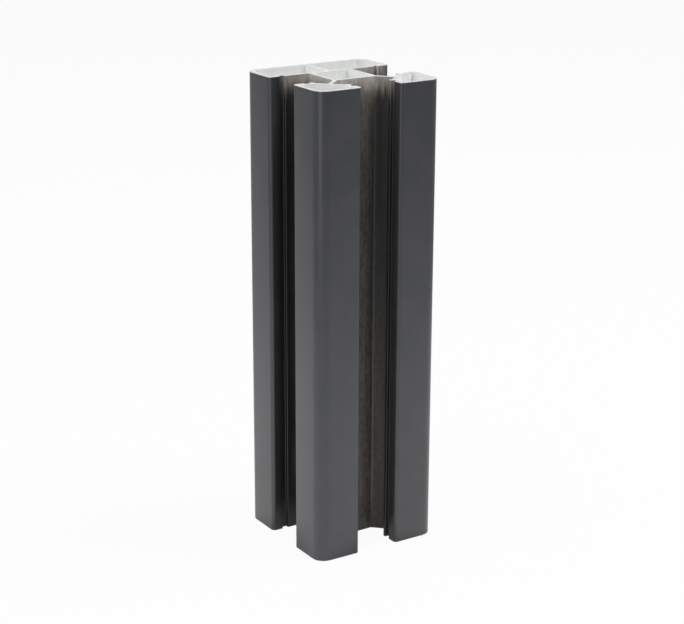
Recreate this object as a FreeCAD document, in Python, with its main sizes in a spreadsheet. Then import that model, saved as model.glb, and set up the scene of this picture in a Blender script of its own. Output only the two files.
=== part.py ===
"""A short length of extruded aluminium fence post with three board slots.

The post stands upright on its sawn end. +X is its right, +Y its closed back and +Z is up. The origin is
the middle of the bottom end. The back is a flat box with a rib in its middle, a square core stands in
front of it, and a diagonal web on each front corner of the core carries a hollow corner chamber.
The gaps between them are the front slot and the two side slots that take the fence boards.
"""
import FreeCAD, Part
import os
import Sketcher

# Sizes in millimetres
SIZES = {
    "width": 70.0,
    "depth": 70.0,
    "length": 240.0,
    "slot_width": 22.0,
    "slot_depth": 22.5,
    "chamber_depth": 24.0,
    "wall": 2.0,
    "rib": 2.0,
    "web": 2.0,
    "seal_setback": 6.0,
    "seal_width": 3.0,
    "seal_depth": 1.8,
    "nib": 2.0,
    "nib_height": 2.3,
    "corner_radius": 6.5,
    "mouth_radius": 2.0,
}

# Places that several outlines share, as distances from the middle of the post
LEFT = "-Sizes.width / 2"
RIGHT = "Sizes.width / 2"
FRONT = "-Sizes.depth / 2"
BACK = "Sizes.depth / 2"
MOUTH_LEFT = "-Sizes.slot_width / 2"
CORE_LEFT = f"{LEFT} + Sizes.slot_depth"
CORE_RIGHT = f"{RIGHT} - Sizes.slot_depth"
CORE_FRONT = f"{FRONT} + Sizes.slot_depth"
SIDE_SLOT_FRONT = f"{FRONT} + Sizes.chamber_depth"
SIDE_SLOT_BACK = f"{SIDE_SLOT_FRONT} + Sizes.slot_width"
SEAL_END = "Sizes.seal_setback + Sizes.seal_width"
NIB_END = f"{SEAL_END} + Sizes.nib"


def make_sheet(doc):
    """The driving dimensions, one row each: the name, and the number under that name's alias."""
    sheet = doc.addObject("Spreadsheet::Sheet", "Sizes")
    for row, (name, value) in enumerate(SIZES.items(), start=1):
        sheet.set(f"A{row}", name)
        sheet.set(f"B{row}", str(value))
        sheet.setAlias(f"B{row}", name)
    doc.recompute()
    return sheet


def origin_plane(body, role):
    """One of the body's own origin planes."""
    return next(feature for feature in body.Origin.OriginFeatures if feature.Role == role)


def make_sketch(body, name):
    """An empty sketch on the level plane through the origin."""
    sketch = body.newObject("Sketcher::SketchObject", name)
    sketch.AttachmentSupport = (origin_plane(body, "XY_Plane"), [""])
    sketch.MapMode = "FlatFace"
    return sketch


def bind(sketch, constraint, formula):
    """Adds a dimension to the sketch and ties it to the sheet."""
    index = sketch.addConstraint(constraint)
    sketch.setExpression(f"Constraints[{index}]", formula)


def draw_outline(sketch, corners):
    """A closed outline of straight lines through corners given as pairs of formulas.

    A side whose two ends share a formula is held upright or level, and every other corner is dimensioned.
    """
    places = [
        FreeCAD.Vector(sketch.evalExpression(x), sketch.evalExpression(y), 0) for x, y in corners
    ]
    first = sketch.GeometryCount
    last = first + len(corners) - 1
    for start, end in zip(places, places[1:] + places[:1]):
        sketch.addGeometry(Part.LineSegment(start, end), False)
    for line in range(first, last):
        sketch.addConstraint(Sketcher.Constraint("Coincident", line, 2, line + 1, 1))
    sketch.addConstraint(Sketcher.Constraint("Coincident", last, 2, first, 1))
    previous = (None, None)
    for number, (x, y) in enumerate(corners):
        line = first + number
        if x == previous[0]:
            sketch.addConstraint(Sketcher.Constraint("Vertical", line - 1))
        else:
            bind(sketch, Sketcher.Constraint("DistanceX", line, 1, places[number].x), x)
        if y == previous[1]:
            sketch.addConstraint(Sketcher.Constraint("Horizontal", line - 1))
        else:
            bind(sketch, Sketcher.Constraint("DistanceY", line, 1, places[number].y), y)
        previous = (x, y)


def extrude(body, sketch, name):
    """Pads a sketch to the length of the post."""
    pad = body.newObject("PartDesign::Pad", name)
    pad.Profile = sketch
    pad.setExpression("Length", "Sizes.length")
    return pad


def back_and_core(body):
    """The closed back box with its rib, and the square core in front of it."""
    sketch = make_sketch(body, "back_and_core_section")
    seal_start_left = f"{LEFT} + Sizes.seal_setback"
    seal_end_left = f"{LEFT} + {SEAL_END}"
    seal_start_right = f"{RIGHT} - Sizes.seal_setback"
    seal_end_right = f"{RIGHT} - ({SEAL_END})"
    seal_floor = f"{SIDE_SLOT_BACK} + Sizes.seal_depth"
    draw_outline(sketch, [
        (LEFT, BACK),
        (LEFT, SIDE_SLOT_BACK),
        (seal_start_left, SIDE_SLOT_BACK),
        (seal_start_left, seal_floor),
        (seal_end_left, seal_floor),
        (seal_end_left, SIDE_SLOT_BACK),
        (CORE_LEFT, SIDE_SLOT_BACK),
        (CORE_LEFT, CORE_FRONT),
        (CORE_RIGHT, CORE_FRONT),
        (CORE_RIGHT, SIDE_SLOT_BACK),
        (seal_end_right, SIDE_SLOT_BACK),
        (seal_end_right, seal_floor),
        (seal_start_right, seal_floor),
        (seal_start_right, SIDE_SLOT_BACK),
        (RIGHT, SIDE_SLOT_BACK),
        (RIGHT, BACK),
    ])
    core_inside_left = f"{CORE_LEFT} + Sizes.wall"
    core_inside_right = f"{CORE_RIGHT} - Sizes.wall"
    core_inside_front = f"{CORE_FRONT} + Sizes.wall"
    draw_outline(sketch, [
        (core_inside_left, SIDE_SLOT_BACK),
        (core_inside_left, core_inside_front),
        (core_inside_right, core_inside_front),
        (core_inside_right, SIDE_SLOT_BACK),
    ])
    inside_front = f"{SIDE_SLOT_BACK} + Sizes.wall"
    inside_back = f"{BACK} - Sizes.wall"
    behind_seal = f"{seal_floor} + Sizes.wall"
    for outer, inward in ((LEFT, "+"), (RIGHT, "-")):
        inside_edge = f"{outer} {inward} Sizes.wall"
        jog_start = f"{outer} {inward} (Sizes.seal_setback - Sizes.wall)"
        jog_end = f"{outer} {inward} ({SEAL_END} + Sizes.wall)"
        rib_side = "-Sizes.rib / 2" if inward == "+" else "Sizes.rib / 2"
        draw_outline(sketch, [
            (inside_edge, inside_back),
            (inside_edge, inside_front),
            (jog_start, inside_front),
            (jog_start, behind_seal),
            (jog_end, behind_seal),
            (jog_end, inside_front),
            (rib_side, inside_front),
            (rib_side, inside_back),
        ])
    return extrude(body, sketch, "back_and_core")


def corner_chamber(body):
    """The hollow left front corner, with a seal groove and a nib at each of its two slots."""
    sketch = make_sketch(body, "corner_chamber_section")
    seal_start_x = f"{LEFT} + Sizes.seal_setback"
    seal_end_x = f"{LEFT} + {SEAL_END}"
    nib_end_x = f"{LEFT} + {NIB_END}"
    seal_start_y = f"{FRONT} + Sizes.seal_setback"
    seal_end_y = f"{FRONT} + {SEAL_END}"
    nib_end_y = f"{FRONT} + {NIB_END}"
    seal_floor_x = f"{MOUTH_LEFT} - Sizes.seal_depth"
    seal_floor_y = f"{SIDE_SLOT_FRONT} - Sizes.seal_depth"
    draw_outline(sketch, [
        (LEFT, FRONT),
        (MOUTH_LEFT, FRONT),
        (MOUTH_LEFT, seal_start_y),
        (seal_floor_x, seal_start_y),
        (seal_floor_x, seal_end_y),
        (MOUTH_LEFT, seal_end_y),
        (MOUTH_LEFT, nib_end_y),
        (f"{MOUTH_LEFT} - Sizes.nib_height", nib_end_y),
        (nib_end_x, f"{SIDE_SLOT_FRONT} - Sizes.nib_height"),
        (nib_end_x, SIDE_SLOT_FRONT),
        (seal_end_x, SIDE_SLOT_FRONT),
        (seal_end_x, seal_floor_y),
        (seal_start_x, seal_floor_y),
        (seal_start_x, SIDE_SLOT_FRONT),
        (LEFT, SIDE_SLOT_FRONT),
    ])
    inside_left = f"{LEFT} + Sizes.wall"
    inside_front = f"{FRONT} + Sizes.wall"
    jog_x = f"{LEFT} + Sizes.seal_setback - Sizes.wall"
    jog_y = f"{FRONT} + Sizes.seal_setback - Sizes.wall"
    behind_seal_x = f"{seal_floor_x} - Sizes.wall"
    behind_seal_y = f"{seal_floor_y} - Sizes.wall"
    slope = "(Sizes.wall * sqrt(2))"
    draw_outline(sketch, [
        (inside_left, inside_front),
        (f"{MOUTH_LEFT} - Sizes.wall", inside_front),
        (f"{MOUTH_LEFT} - Sizes.wall", jog_y),
        (behind_seal_x, jog_y),
        (behind_seal_x, f"{nib_end_y} + Sizes.seal_depth + Sizes.wall - Sizes.nib_height - {slope}"),
        (f"{nib_end_x} + Sizes.seal_depth + Sizes.wall - Sizes.nib_height - {slope}", behind_seal_y),
        (jog_x, behind_seal_y),
        (jog_x, f"{SIDE_SLOT_FRONT} - Sizes.wall"),
        (inside_left, f"{SIDE_SLOT_FRONT} - Sizes.wall"),
    ])
    return extrude(body, sketch, "corner_chamber")


def diagonal_web(body):
    """The thin wall from the back of the left corner chamber to the left front corner of the core."""
    sketch = make_sketch(body, "diagonal_web_section")
    chamber_back = (
        f"({LEFT} + {NIB_END} + {MOUTH_LEFT} - Sizes.nib_height) / 2",
        f"({FRONT} + {NIB_END} + {SIDE_SLOT_FRONT} - Sizes.nib_height) / 2",
    )
    core_corner = (CORE_LEFT, CORE_FRONT)
    start, end = (
        FreeCAD.Vector(sketch.evalExpression(x), sketch.evalExpression(y), 0)
        for x, y in (chamber_back, core_corner)
    )
    middle = sketch.addGeometry(Part.LineSegment(start, end), True)
    for point, place, (x, y) in ((1, start, chamber_back), (2, end, core_corner)):
        bind(sketch, Sketcher.Constraint("DistanceX", middle, point, place.x), x)
        bind(sketch, Sketcher.Constraint("DistanceY", middle, point, place.y), y)

    along = (end - start).normalize()
    across = FreeCAD.Vector(-along.y, along.x, 0)
    half_web = sketch.evalExpression("Sizes.web / 2")
    seat_in_chamber = sketch.evalExpression("Sizes.wall / 2")
    seat_in_core = sketch.evalExpression("Sizes.wall")
    near_end = start - along * seat_in_chamber
    far_end = end + along * seat_in_core
    corners = [
        near_end - across * half_web,
        far_end - across * half_web,
        far_end + across * half_web,
        near_end + across * half_web,
    ]
    lines = [
        sketch.addGeometry(Part.LineSegment(a, b), False)
        for a, b in zip(corners, corners[1:] + corners[:1])
    ]
    for line, following in zip(lines, lines[1:] + lines[:1]):
        sketch.addConstraint(Sketcher.Constraint("Coincident", line, 2, following, 1))
    right_side, core_end, left_side, chamber_end = lines
    for side in (right_side, left_side):
        sketch.addConstraint(Sketcher.Constraint("Parallel", side, middle))
        bind(sketch, Sketcher.Constraint("Distance", middle, 1, side, half_web), "Sizes.web / 2")
    for cap in (core_end, chamber_end):
        sketch.addConstraint(Sketcher.Constraint("Perpendicular", cap, middle))
    bind(sketch, Sketcher.Constraint("Distance", middle, 2, core_end, seat_in_core), "Sizes.wall")
    bind(
        sketch,
        Sketcher.Constraint("Distance", middle, 1, chamber_end, seat_in_chamber),
        "Sizes.wall / 2",
    )
    return extrude(body, sketch, "diagonal_web")


def mirror_to_right(body, originals):
    """Repeats the left-hand features on the right of the post."""
    mirrored = body.newObject("PartDesign::Mirrored", "right_hand")
    mirrored.Originals = originals
    mirrored.MirrorPlane = (origin_plane(body, "YZ_Plane"), [""])
    body.Tip = mirrored
    return mirrored


def upright_edges(feature, places):
    """Names of the feature's upright edges that stand at the given places of the section."""
    tolerance = 1e-4
    names = []
    for number, edge in enumerate(feature.Shape.Edges, start=1):
        foot, top = (vertex.Point for vertex in (edge.Vertexes[0], edge.Vertexes[-1]))
        if abs(foot.x - top.x) > tolerance or abs(foot.y - top.y) > tolerance:
            continue
        if any(abs(foot.x - x) < tolerance and abs(foot.y - y) < tolerance for x, y in places):
            names.append(f"Edge{number}")
    return names


def round_edges(body, name, corners, radius):
    """Rounds the upright edges at the given corners, and at the same corners mirrored to the right."""
    body.Document.recompute()
    base = body.Tip
    left = [(base.evalExpression(x), base.evalExpression(y)) for x, y in corners]
    places = left + [(-x, y) for x, y in left]
    names = upright_edges(base, places)
    if len(names) != len(places):
        raise RuntimeError(f"{name}: found {len(names)} of {len(places)} edges")
    fillet = body.newObject("PartDesign::Fillet", name)
    fillet.Base = (base, names)
    fillet.setExpression("Radius", radius)
    body.Tip = fillet
    return fillet


def make_post(doc):
    """The whole extrusion as one body."""
    body = doc.addObject("PartDesign::Body", "post_profile")
    body.Label = "post_profile"
    back_and_core(body)
    web = diagonal_web(body)
    chamber = corner_chamber(body)
    doc.recompute()
    mirror_to_right(body, [web, chamber])
    round_edges(
        body,
        "outer_corners",
        [(LEFT, FRONT), (LEFT, BACK)],
        "Sizes.corner_radius",
    )
    inside_left = f"{LEFT} + Sizes.wall"
    round_edges(
        body,
        "inner_corners",
        [(inside_left, f"{FRONT} + Sizes.wall"), (inside_left, f"{BACK} - Sizes.wall")],
        "Sizes.corner_radius - Sizes.wall",
    )
    round_edges(
        body,
        "slot_mouths",
        [(MOUTH_LEFT, FRONT), (LEFT, SIDE_SLOT_FRONT), (LEFT, SIDE_SLOT_BACK)],
        "Sizes.mouth_radius",
    )
    body.Placement = FreeCAD.Placement()
    doc.recompute()
    return body


def check(doc, bodies):
    """Stops before anything is written if a feature failed or a solid isn't sound."""
    for item in doc.Objects:
        if "Invalid" in item.State or "Error" in item.State:
            raise RuntimeError(f"{item.Name} failed: {item.State}")
    for body in bodies:
        shape = body.Shape
        if shape.isNull() or not shape.isValid() or len(shape.Solids) != 1:
            raise RuntimeError(f"{body.Label} isn't one sound solid")


def main():
    doc = FreeCAD.newDocument("fence_post")
    make_sheet(doc)
    bodies = [make_post(doc)]
    check(doc, bodies)
    os.makedirs("parts", exist_ok=True)
    for body in bodies:
        body.Shape.exportStep(f"parts/{body.Label}.step")
        print(body.Label, "volume", round(body.Shape.Volume), "mm3", body.Shape.BoundBox)


main()
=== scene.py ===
"""The looks of a slotted fence post: satin coat, sawn ends and bare hollows, in a pale studio."""
import math
from contextlib import contextmanager
import bmesh
import bpy
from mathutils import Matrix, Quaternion, Vector
from mathutils.bvhtree import BVHTree


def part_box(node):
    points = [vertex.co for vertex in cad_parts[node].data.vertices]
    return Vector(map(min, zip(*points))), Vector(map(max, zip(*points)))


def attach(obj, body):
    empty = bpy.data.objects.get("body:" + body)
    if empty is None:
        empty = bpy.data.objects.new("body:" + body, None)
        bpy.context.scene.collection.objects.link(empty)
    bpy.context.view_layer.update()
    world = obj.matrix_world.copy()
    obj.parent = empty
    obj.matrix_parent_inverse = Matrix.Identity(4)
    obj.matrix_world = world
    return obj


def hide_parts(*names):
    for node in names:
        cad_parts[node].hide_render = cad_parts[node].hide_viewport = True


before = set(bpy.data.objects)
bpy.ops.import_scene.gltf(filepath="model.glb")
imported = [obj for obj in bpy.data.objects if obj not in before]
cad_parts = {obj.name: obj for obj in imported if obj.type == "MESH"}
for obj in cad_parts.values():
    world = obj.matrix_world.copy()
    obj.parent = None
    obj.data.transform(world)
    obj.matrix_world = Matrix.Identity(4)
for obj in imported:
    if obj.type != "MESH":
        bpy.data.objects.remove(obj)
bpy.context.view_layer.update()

MM = 0.001

# The post, measured on the frame
POST_LOW, POST_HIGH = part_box("post_profile")
POST_LENGTH = POST_HIGH.z - POST_LOW.z
HALF_WIDTH = (POST_HIGH.x - POST_LOW.x) / 2

# Shaping of the metal
WELD_DISTANCE = 0.001 * MM
FLAT_ANGLE = math.radians(0.2)
SHARP_ANGLE = math.radians(25)
SMOOTH_ANGLE = math.radians(35)
DIE_RADIUS = 0.45 * MM
DIE_SEGMENTS = 4
END_TILT = 0.9

# Search for the closed hollows
SEARCH_RAYS = 32
SEARCH_STEP = 0.05 * MM

# Camera, where the photograph was taken from
CAMERA_PLACE = Vector((-0.4622, -0.7233, 0.3906))
CAMERA_TURN = math.radians(32.599)
CAMERA_PITCH = math.radians(17.626)
CAMERA_ROLL = math.radians(0.209)
CAMERA_NEAR = 0.01
CAMERA_FAR = 100.0
FRAME_WIDTH = 684
FOCAL_PIXELS = 1763.6
SENSOR_WIDTH = 36.0

# Colours of the finishes
ANTHRACITE = (0.034, 0.036, 0.042)
ANTHRACITE_WORN = (0.042, 0.043, 0.049)
# Painted shade: the coat colour deep in the slots, where little light reaches
SLOT_PAINTED_SHADE = (0.013, 0.0135, 0.014)
THIN_COAT = (0.205, 0.185, 0.167)
# Painted light: the light colour below the top end of the slots
PAINTED_TOP_LIGHT_COLOUR = (0.72, 0.668, 0.615)
DUST = (0.30, 0.30, 0.29)
BARE_METAL = (0.78, 0.785, 0.78)
MILL_METAL = (0.95, 0.96, 0.945)
FLOOR_GREY = (0.60, 0.60, 0.60)
WHITE = (1.0, 1.0, 1.0)
BLACK = (0.0, 0.0, 0.0)

# How the finishes shine
COAT_SPECULAR = 0.85
SAWN_METALLIC = 1.0
MILL_METALLIC = 0.2
SAW_BOW = 3.0

# The floor, and the share of it that the camera sees as plain white
FLOOR_SIZE = 30.0
FLOOR_ROUGHNESS = 0.9
FLOOR_WHITE = 0.95


class Field:
    """A value that varies over a surface: a socket of a node tree, with arithmetic that adds nodes."""

    def __init__(self, tree, socket):
        self.tree = tree
        self.socket = socket

    def node(self, kind, settings=None, output=0, **values):
        """Adds a node with its settings and its sockets' values, each a number, a colour or a Field.

        A socket goes by its name, or by i and its number where the name is not its own.
        """
        made = self.tree.nodes.new(kind)
        for name, setting in (settings or {}).items():
            setattr(made, name, setting)
        for name, value in values.items():
            socket = made.inputs[int(name[1:]) if name[1:].isdigit() else name]
            if isinstance(value, Field):
                self.tree.links.new(value.socket, socket)
            else:
                socket.default_value = value
        return Field(self.tree, made.outputs[output])

    def maths(self, operation, first, second):
        return self.node("ShaderNodeMath", {"operation": operation}, i0=first, i1=second)

    def __add__(self, other):
        return self.maths("ADD", self, other)

    def __radd__(self, other):
        return self.maths("ADD", other, self)

    def __sub__(self, other):
        return self.maths("SUBTRACT", self, other)

    def __rsub__(self, other):
        return self.maths("SUBTRACT", other, self)

    def __mul__(self, other):
        return self.maths("MULTIPLY", self, other)

    def __rmul__(self, other):
        return self.maths("MULTIPLY", other, self)

    def __abs__(self):
        return self.maths("ABSOLUTE", self, 0.0)

    def larger(self, other):
        return self.maths("MAXIMUM", self, other)

    def smaller(self, other):
        return self.maths("MINIMUM", self, other)

    def rise(self, start, end):
        """0 up to start and 1 from end on, with a soft step between them."""
        return self.node(
            "ShaderNodeMapRange",
            {"interpolation_type": "SMOOTHSTEP"},
            Value=self,
            **{"From Min": start, "From Max": end},
        )

    def blend(self, low, high):
        """A colour that goes from low to high as this value goes from 0 to 1."""
        return self.node("ShaderNodeMix", {"data_type": "RGBA"}, output=2, i0=self, i6=low, i7=high)


def colour(rgb):
    """A colour with full alpha."""
    return (*rgb, 1.0)


def shades(tone, rgb, darkest, lightest):
    """Shades of one colour, from darkest to lightest times it as the tone goes from 0 to 1."""
    return tone.blend(colour(darkest * part for part in rgb), colour(lightest * part for part in rgb))


def place_on(tree):
    """The place on the piece."""
    return Field(tree, tree.nodes.new("ShaderNodeTexCoord").outputs["Object"])


def coordinates(place):
    """The three coordinates of a place."""
    split = place.node("ShaderNodeSeparateXYZ", Vector=place).socket.node
    return [Field(place.tree, split.outputs[axis]) for axis in "XYZ"]


def grain(place, size, stretch=(1, 1, 1), detail=3.0):
    """Soft noise from 0 to 1 with features of about the given size, drawn out along the axes."""
    scale = [1 / (size * factor) for factor in stretch]
    scaled = place.node("ShaderNodeMapping", Vector=place, Scale=scale)
    return place.node("ShaderNodeTexNoise", Vector=scaled, Scale=1.0, Detail=detail)


def dust_specks(place, spacing, radius):
    """1 on a few small round specks, about one to every five cells of the given spacing."""
    cells = place.node("ShaderNodeTexVoronoi", Vector=place, Scale=1 / spacing)
    cell_colour = Field(place.tree, cells.socket.node.outputs["Color"])
    chosen = place.node("ShaderNodeSeparateColor", Color=cell_colour).rise(0.78, 0.8)
    return (1 - cells.rise(0.5 * radius / spacing, radius / spacing)) * chosen


def bumped(height, distance, strength):
    """A normal tilted by a height field, with distance as the full depth."""
    return height.node("ShaderNodeBump", Height=height, Distance=distance, Strength=strength)


def finish(name):
    """A new material with one surface shader; gives the material, its node tree and the shader."""
    material = bpy.data.materials.new(name)
    material.use_nodes = True
    shader = material.node_tree.nodes["Principled BSDF"]
    return material, material.node_tree, shader


def feed(tree, shader, **values):
    """Links fields to the named sockets of a shader."""
    for name, value in values.items():
        tree.links.new(value.socket, shader.inputs[name.replace("_", " ")])


def powder_coat():
    """Satin anthracite powder coat, thin and patchy deep in the slots where little powder reaches, with
    painted shade deep in the slots and painted light below the top end.
    """
    material, tree, shader = finish("powder_coat")
    place = place_on(tree)
    x, y, z = coordinates(place)
    depth = HALF_WIDTH - abs(x).larger(abs(y))
    inner = abs(x).smaller(abs(y))
    from_top = POST_LENGTH - z
    from_end = z.smaller(from_top)
    patches = grain(place, 9 * MM, stretch=(1, 1, 3))
    streaks = grain(place, 1.3 * MM, stretch=(1, 1, 16))
    mottle = grain(place, 1.6 * MM, stretch=(1, 1, 2), detail=2.0)
    cloud = grain(place, 14 * MM, detail=4.0)
    pebble = grain(place, 0.35 * MM, detail=1.5)
    chipping = grain(place, 0.8 * MM)

    # Ragged zone of painted light below the top end, standing in for light that falls into the slots
    # from above, and the chips along both sawn ends
    ragged = from_top - inner.rise(5 * MM, 11 * MM) * (4 * MM)
    ragged = ragged + (streaks - 0.5) * (16 * MM) + (patches - 0.5) * (8 * MM)
    painted_top_light = 1 - ragged.rise(-4 * MM, 10 * MM)
    chips = 1 - (from_end - chipping * (0.5 * MM)).rise(-0.1 * MM, 0.0)

    # Where the coat is thin: deep in the slots and more so on the right, but less on the webs higher up
    right_side = x.rise(5 * MM, 20 * MM) * (5 * MM)
    deep = (depth + right_side + (patches - 0.5) * (9 * MM)).rise(10 * MM, 20 * MM)
    higher_up = (z + (patches - 0.5) * (60 * MM)).rise(0.25 * POST_LENGTH, 0.75 * POST_LENGTH)
    cover = inner.rise(5 * MM, 13.5 * MM) * (0.6 + higher_up * 0.4) * (1 - painted_top_light * 0.6)
    groove = depth.rise(4 * MM, 5 * MM) * (1 - depth.rise(10 * MM, 11 * MM))
    groove = groove * inner.rise(11.6 * MM, 12.4 * MM)
    right_slot = x.rise(15 * MM, 25 * MM) * (5 * MM)
    # Painted light below the top end, on the slots' lips as well, counted as thin coat
    bare = painted_top_light * (depth + right_slot).rise(5 * MM, 11 * MM)
    thin = (deep * (1 - cover)).larger(groove * 0.05).larger(bare * 0.5)

    # Colours of the thin coat with painted light below the top end, the full coat with painted shade
    # deep in the slots, the dust and the chips
    tone = (streaks * 0.4 + patches * 0.25 + mottle * 0.35).rise(0.3, 0.7)
    thin_coat_and_painted_light = painted_top_light.blend(shades(tone, THIN_COAT, 0.6, 1.4), shades(tone, PAINTED_TOP_LIGHT_COLOUR, 0.7, 1.2))
    coat_shade = cloud.rise(0.35, 0.7).blend(colour(ANTHRACITE), colour(ANTHRACITE_WORN))
    # Painted shade: the coat is darkened deep in the slots, where little light reaches
    coat_shade = depth.rise(2 * MM, 6 * MM).blend(coat_shade, colour(SLOT_PAINTED_SHADE))
    specks = dust_specks(place, spacing=9 * MM, radius=0.28 * MM)
    shade = specks.blend(thin.blend(coat_shade, thin_coat_and_painted_light), colour(DUST))
    feed(
        tree,
        shader,
        Base_Color=chips.blend(shade, colour(BARE_METAL)),
        Metallic=(thin * (0.5 - painted_top_light * 0.3)).larger(chips),
        Roughness=0.26 + cloud * 0.08 + thin * 0.1,
        Normal=bumped(pebble, distance=0.03 * MM, strength=0.5),
    )
    shader.inputs["Specular IOR Level"].default_value = COAT_SPECULAR
    return material


def sawn_metal():
    """Bare metal of a sawn end: fine curved saw lines over a bright cut."""
    material, tree, shader = finish("sawn_metal")
    place = place_on(tree)
    x, y, z = coordinates(place)
    bowed = place.node("ShaderNodeCombineXYZ", X=x + y * y * SAW_BOW, Y=y, Z=z)
    lines = grain(bowed, 0.45 * MM, stretch=(1, 60, 60), detail=2.0)
    cloud = grain(place, 6 * MM)
    tone = (lines * 0.7 + cloud * 0.3).rise(0.25, 0.75)
    feed(
        tree,
        shader,
        Base_Color=shades(tone, BARE_METAL, 0.72, 1.12),
        Roughness=0.30 + lines * 0.18,
        Normal=bumped(lines, distance=0.03 * MM, strength=0.6),
    )
    shader.inputs["Metallic"].default_value = SAWN_METALLIC
    return material


def mill_metal():
    """Uncoated metal inside the hollows, as it left the die, with drawn lines along the post."""
    material, tree, shader = finish("mill_metal")
    place = place_on(tree)
    drawn = grain(place, 0.45 * MM, stretch=(1, 1, 120))
    cloud = grain(place, 10 * MM, stretch=(1, 1, 3))
    tone = (drawn * 0.6 + cloud * 0.4).rise(0.25, 0.75)
    feed(
        tree,
        shader,
        Base_Color=shades(tone, MILL_METAL, 0.9, 1.02),
        Roughness=0.48 + drawn * 0.16,
        Normal=bumped(drawn, distance=0.02 * MM, strength=0.5),
    )
    shader.inputs["Metallic"].default_value = MILL_METALLIC
    return material


def only(piece):
    """Makes a piece the one selected and active object."""
    bpy.ops.object.select_all(action="DESELECT")
    piece.select_set(True)
    bpy.context.view_layer.objects.active = piece


@contextmanager
def editing(piece):
    """Edit mode on one piece."""
    only(piece)
    bpy.ops.object.mode_set(mode="EDIT")
    yield
    bpy.ops.object.mode_set(mode="OBJECT")


def select(piece, kind, wanted):
    """Selects, in edit mode, only the edges or faces that the given test accepts."""
    bpy.ops.mesh.select_mode(type=kind)
    bpy.ops.mesh.select_all(action="DESELECT")
    shape = bmesh.from_edit_mesh(piece.data)
    elements = shape.edges if kind == "EDGE" else shape.faces
    for element in elements:
        if wanted(element):
            element.select_set(True)
    bmesh.update_edit_mesh(piece.data)


def is_end(face):
    """A face of one of the two flat ends."""
    return abs(face.normal.z) > END_TILT


def is_die_edge(edge):
    """A sharp edge that runs the length of the post."""
    upright = abs(edge.verts[0].co.z - edge.verts[1].co.z) > POST_LENGTH / 2
    return upright and edge.calc_face_angle() > SHARP_ANGLE


def is_rim(edge, level):
    """An open edge of the walls at the given level."""
    return edge.is_boundary and all(abs(corner.co.z - level) < MM for corner in edge.verts)


def wall_copy(name):
    """A welded copy of the post's own walls, with each flat wall as one face and both ends open."""
    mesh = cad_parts["post_profile"].data.copy()
    mesh.materials.clear()
    piece = bpy.data.objects.new(name, mesh)
    bpy.context.scene.collection.objects.link(piece)
    only(piece)
    bpy.ops.mesh.customdata_custom_splitnormals_clear()
    with editing(piece):
        bpy.ops.mesh.select_all(action="SELECT")
        bpy.ops.mesh.remove_doubles(threshold=WELD_DISTANCE)
        bpy.ops.mesh.dissolve_limited(angle_limit=FLAT_ANGLE)
        select(piece, "FACE", is_end)
        bpy.ops.mesh.delete(type="FACE")
    return piece


def round_die_edges(piece):
    """Rounds the sharp edges along the post, as an extrusion die leaves them."""
    with editing(piece):
        select(piece, "EDGE", is_die_edge)
        bpy.ops.mesh.bevel(offset=DIE_RADIUS, segments=DIE_SEGMENTS, affect="EDGES", clamp_overlap=True)


def close_ends(piece):
    """Closes each end with a flat sawn face, its edges left crisp by the saw."""
    with editing(piece):
        for level in (POST_LOW.z, POST_HIGH.z):
            select(piece, "EDGE", lambda edge: is_rim(edge, level))
            bpy.ops.mesh.fill(use_beauty=True)
        bpy.ops.mesh.select_all(action="SELECT")
        bpy.ops.mesh.normals_make_consistent(inside=False)


def finish_faces(piece):
    """Gives each face its finish: sawn ends, mill metal in the closed hollows, and coat elsewhere."""
    mesh = piece.data
    for material in (powder_coat(), sawn_metal(), mill_metal()):
        mesh.materials.append(material)
    coat_slot, sawn_slot, mill_slot = range(3)
    corners = [corner.co for corner in mesh.vertices]
    walls = BVHTree.FromPolygons(corners, [tuple(face.vertices) for face in mesh.polygons])
    turns = [math.tau * n / SEARCH_RAYS for n in range(SEARCH_RAYS)]
    ways = [Vector((math.cos(turn), math.sin(turn), 0)) for turn in turns]
    for face in mesh.polygons:
        start = face.center + face.normal * SEARCH_STEP
        start.z = POST_LENGTH / 2
        if is_end(face):
            face.material_index = sawn_slot
        elif all(walls.ray_cast(start, way)[0] for way in ways):
            face.material_index = mill_slot
        else:
            face.material_index = coat_slot


def make_post():
    """The whole extrusion, with rounded die edges, crisp sawn ends and its finishes."""
    piece = wall_copy("fence_post")
    round_die_edges(piece)
    close_ends(piece)
    finish_faces(piece)
    only(piece)
    bpy.ops.object.shade_smooth_by_angle(angle=SMOOTH_ANGLE)
    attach(piece, "root")
    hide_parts("post_profile")


def shown_rays(tree):
    """Two fields: 1 for rays from the camera, and 1 for rays seen in gloss or through glass."""
    light_path = tree.nodes.new("ShaderNodeLightPath")
    kinds = ("Camera", "Glossy", "Transmission")
    camera, gloss, glass = (Field(tree, light_path.outputs[f"Is {kind} Ray"]) for kind in kinds)
    return camera, gloss.larger(glass)


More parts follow.
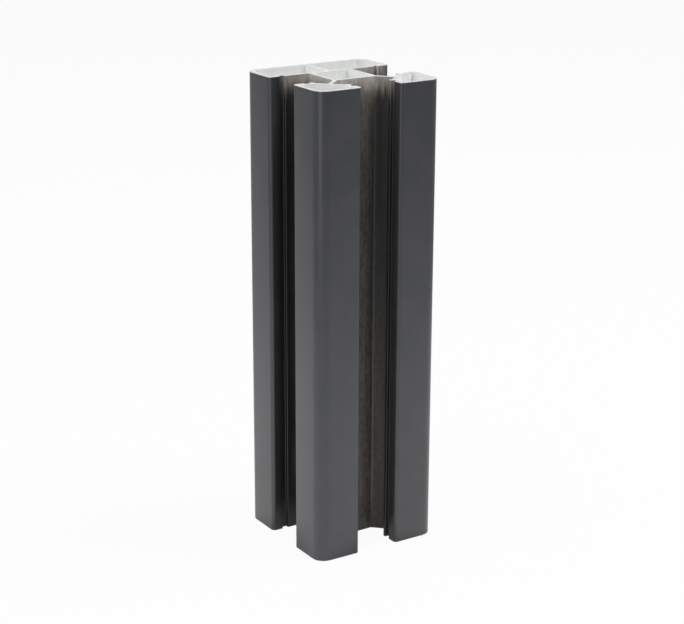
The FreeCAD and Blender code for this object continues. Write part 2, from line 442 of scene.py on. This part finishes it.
def make_floor():
    """A wide pale floor that shows white and keeps the shadow of the post."""
    bpy.ops.object.select_all(action="DESELECT")
    bpy.ops.mesh.primitive_plane_add(size=FLOOR_SIZE, location=(0, 0, POST_LOW.z))
    floor = bpy.context.active_object
    floor.name = "floor"
    material, tree, shader = finish("pale_floor")
    floor.data.materials.append(material)
    shader.inputs["Base Color"].default_value = colour(FLOOR_GREY)
    shader.inputs["Roughness"].default_value = FLOOR_ROUGHNESS
    shader.inputs["Specular IOR Level"].default_value = 0.0
    place = place_on(tree)
    x, y = coordinates(place)[:2]

    # Painted light and shadow in reflections: a lit strip, a pool lighter towards the post, and a
    # painted shadow dark around its foot
    away = place.node("ShaderNodeVectorMath", {"operation": "LENGTH"}, output=1, i0=place)
    painted_strip = (1 - abs(x).rise(0.42, 0.55)) * y.rise(-0.9, -0.4)
    painted_pool = 1 - away.rise(0.05, 0.6)
    clear_of_painted_shadow = away.rise(0.025, 0.06)
    level = (0.33 + painted_strip * 0.35 + painted_pool * 0.42) * (0.3 + clear_of_painted_shadow * 0.7)

    camera, reflected = shown_rays(tree)
    shown = camera.larger(level).blend(colour(BLACK), colour(WHITE))
    white = place.node("ShaderNodeEmission", Color=shown, Strength=1.0)
    surface = Field(tree, shader.outputs[0])
    white_share = (camera * FLOOR_WHITE).larger(reflected)
    mixed = place.node("ShaderNodeMixShader", i0=white_share, i1=surface, i2=white)
    tree.links.new(mixed.socket, tree.nodes["Material Output"].inputs["Surface"])


def along(direction, way):
    """How far a direction points the given way: 1 along it, -1 against it."""
    return direction.node(
        "ShaderNodeVectorMath", {"operation": "DOT_PRODUCT"}, output=1, i0=direction, i1=way
    )


def make_world():
    """Soft light from above and behind, and white where the camera sees the background."""
    world = bpy.data.worlds.new("studio")
    bpy.context.scene.world = world
    world.use_nodes = True
    tree = world.node_tree
    background = tree.nodes["Background"]
    background.inputs["Color"].default_value = colour(WHITE)
    camera, reflected = shown_rays(tree)
    direction = Field(tree, tree.nodes.new("ShaderNodeTexCoord").outputs["Generated"])
    bright = along(direction, (0.0, 0.6, 0.8)).rise(-0.3, 0.5)
    behind_top = along(direction, (0.0, 0.0, 1.0)).rise(0.55, 0.8)
    soft_light = 0.03 + bright * 0.12
    backdrop = (0.2 + bright * 0.8) * (1 - behind_top * 0.8)
    strength = camera.larger(reflected * backdrop).larger(soft_light)
    tree.links.new(strength.socket, background.inputs["Strength"])


def add_softbox(name, place, width, height, power, mirrored=True):
    """A soft light that faces the middle of the post, and shows in gloss only if mirrored."""
    bpy.ops.object.light_add(type="AREA", location=place)
    lamp = bpy.context.active_object
    lamp.name = name
    lamp.data.shape = "RECTANGLE"
    lamp.data.size = width
    lamp.data.size_y = height
    lamp.data.energy = power
    lamp.visible_camera = False
    lamp.visible_glossy = mirrored
    aim = Vector((0, 0, POST_LENGTH / 2)) - Vector(place)
    lamp.rotation_euler = aim.to_track_quat("-Z", "Y").to_euler()


def make_camera():
    """The camera at the photograph's viewing angle."""
    data = bpy.data.cameras.new("camera")
    camera = bpy.data.objects.new("camera", data)
    bpy.context.scene.collection.objects.link(camera)
    data.sensor_width = SENSOR_WIDTH
    data.lens = FOCAL_PIXELS / FRAME_WIDTH * SENSOR_WIDTH
    data.clip_start = CAMERA_NEAR
    data.clip_end = CAMERA_FAR
    camera.location = CAMERA_PLACE
    level = math.cos(CAMERA_PITCH)
    ahead = (math.sin(CAMERA_TURN) * level, math.cos(CAMERA_TURN) * level, -math.sin(CAMERA_PITCH))
    turn = Vector(ahead).to_track_quat("-Z", "Y") @ Quaternion((0, 0, 1), CAMERA_ROLL)
    camera.rotation_euler = turn.to_euler()
    bpy.context.scene.camera = camera


make_post()
make_floor()
make_world()
add_softbox("left_softbox", (-0.44, -0.255, 0.28), width=0.22, height=0.5, power=0.33)
add_softbox("key_softbox", (0.69, -0.40, 1.26), width=0.7, height=0.7, power=17.0, mirrored=False)
add_softbox("top_softbox", (0.0, 0.1, 1.4), width=2.2, height=2.2, power=15.5)
add_softbox("side_softbox", (-0.8, 0.1, 0.75), width=1.0, height=1.0, power=4.2, mirrored=False)
make_camera()
bpy.context.scene.view_settings.view_transform = "Standard"
